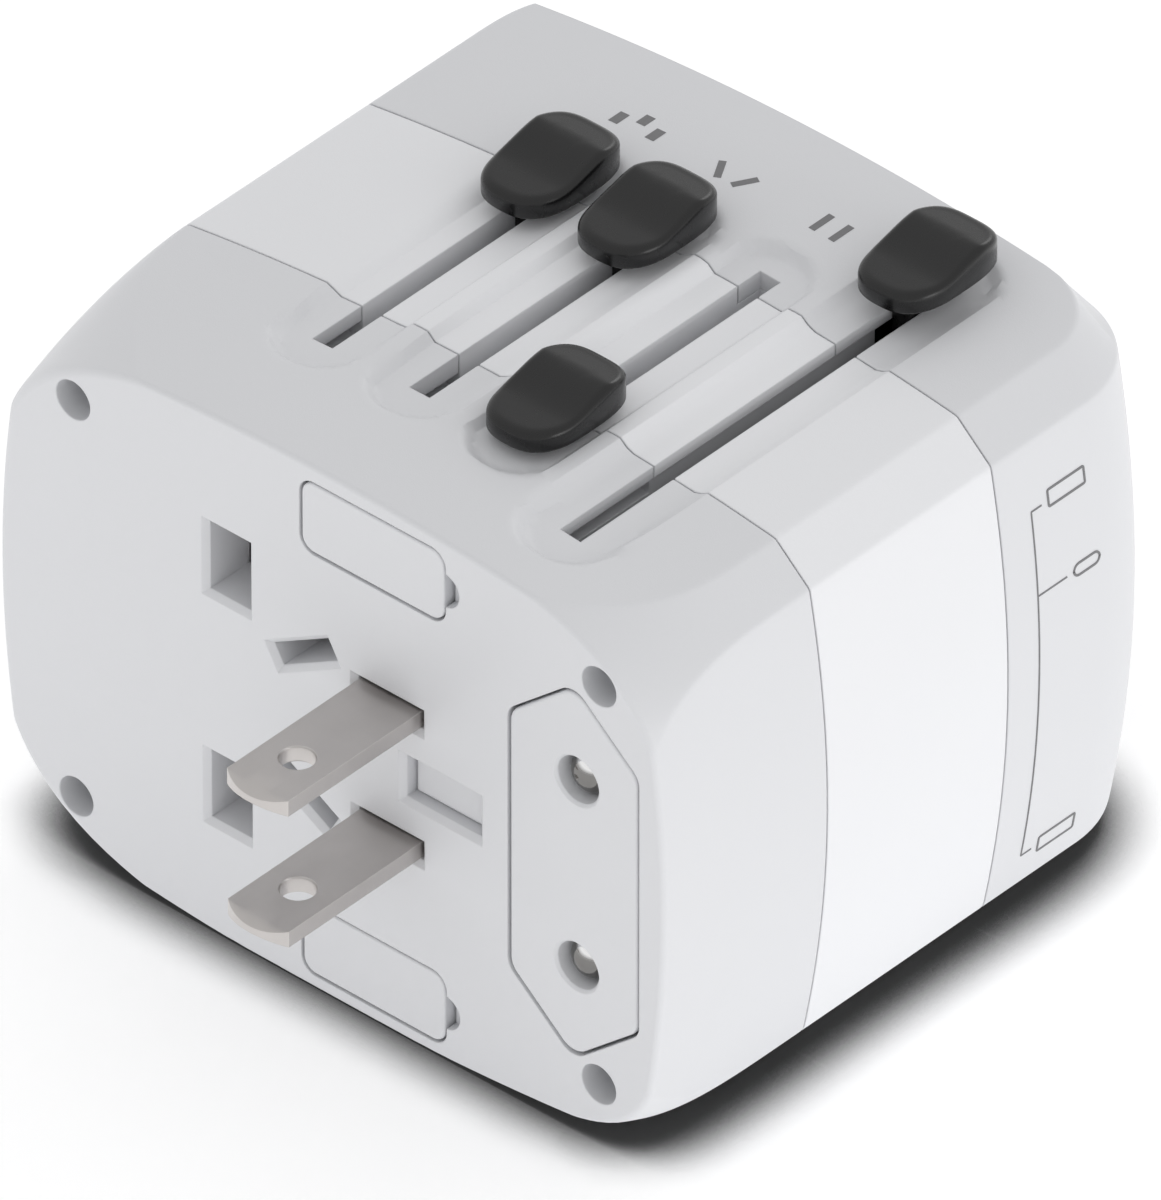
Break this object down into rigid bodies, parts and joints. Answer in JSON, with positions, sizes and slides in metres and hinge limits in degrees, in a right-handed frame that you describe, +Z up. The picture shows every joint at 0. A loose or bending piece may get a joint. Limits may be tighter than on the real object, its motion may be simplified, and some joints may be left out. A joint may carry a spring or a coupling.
{
  "type": "universal travel adapter",
  "caption": "Rounded cube travel adapter with thumb sliders that extend retractable plug pins, a sliding round-pin plug block, a universal rear socket and USB charging ports.",
  "frame": {"origin": "on the flat rest face under the case, below the plug face's centre line and midway between the plug face and the socket face", "axes": "+X across the plug face to the side with the round-pin plug block, -Y out of the plug face and +Y out of the socket face, +Z up through the sliders"},
  "size_m": [0.0694, 0.0769, 0.0551],
  "materials": {
    "case_plastic": "satin light grey moulded plastic",
    "band_plastic": "satin white moulded plastic",
    "socket_plastic": "fine-textured grey moulded plastic",
    "inner_plastic": "dark flame-retardant moulded plastic",
    "knob_plastic": "soft charcoal plastic, smooth",
    "pin_metal": "nickel-plated brass, satin",
    "round_pin_metal": "bright nickel-plated brass",
    "contact_brass": "stamped phosphor bronze",
    "screw_steel": "zinc-plated steel",
    "fuse_ceramic": "glazed ceramic",
    "circuit_board": "green solder mask",
    "component_dark": "black component plastic",
    "port_steel": "tin-plated steel",
    "port_plastic": "black moulded plastic"
  },
  "bodies": {
    "housing": {"front_cap": "case_plastic", "middle_band": "band_plastic", "rear_cap": "case_plastic", "case_screws": "screw_steel", "socket_face": "socket_plastic", "contact_block": "inner_plastic", "live_contact": "contact_brass", "neutral_contact": "contact_brass", "live_busbar": "contact_brass", "neutral_busbar": "contact_brass", "fuse": "fuse_ceramic", "fuse_clips": "contact_brass", "spare_fuse": "fuse_ceramic", "power_board": "circuit_board", "transformer": "component_dark", "capacitors": "component_dark", "bridge_rectifier": "component_dark", "inductor": "component_dark", "port_board": "circuit_board", "usb_a_shells": "port_steel", "usb_a_tongues": "port_plastic", "usb_c_shell": "port_steel", "usb_c_tongue": "port_plastic"},
    "uk_slider": {"uk_knob": "knob_plastic", "uk_carriage": "inner_plastic", "uk_pins": "pin_metal", "uk_earth_pin": "case_plastic"},
    "aus_slider": {"aus_knob": "knob_plastic", "aus_carriage": "inner_plastic", "aus_pins": "pin_metal"},
    "usa_slider": {"usa_knob": "knob_plastic", "usa_carriage": "inner_plastic", "usa_blades": "pin_metal"},
    "eu_block": {"eu_plug_body": "case_plastic"},
    "eu_slider": {"eu_knob": "knob_plastic", "eu_carriage": "inner_plastic", "eu_pins": "round_pin_metal"},
    "fuse_door": {"fuse_cover": "case_plastic"},
    "spare_fuse_door": {"spare_fuse_cover": "case_plastic"}
  },
  "joints": [
    {"name": "uk_slide", "type": "slide", "parent": "housing", "child": "uk_slider", "axis": [0, -1, 0], "range_m": [0, 0.0218]},
    {"name": "aus_slide", "type": "slide", "parent": "housing", "child": "aus_slider", "axis": [0, -1, 0], "range_m": [0, 0.0218]},
    {"name": "usa_slide", "type": "slide", "parent": "housing", "child": "usa_slider", "axis": [0, -1, 0], "range_m": [-0.0218, 0]},
    {"name": "eu_block_slide", "type": "slide", "parent": "housing", "child": "eu_block", "axis": [0, -1, 0], "range_m": [0, 0.0162]},
    {"name": "eu_pin_slide", "type": "slide", "parent": "eu_block", "child": "eu_slider", "axis": [0, -1, 0], "range_m": [0, 0.0205]},
    {"name": "fuse_cover_slide", "type": "slide", "parent": "housing", "child": "fuse_door", "axis": [0, -1, 0], "range_m": [0, 0.008]},
    {"name": "spare_fuse_cover_slide", "type": "slide", "parent": "housing", "child": "spare_fuse_door", "axis": [0, -1, 0], "range_m": [0, 0.008]}
  ]
}
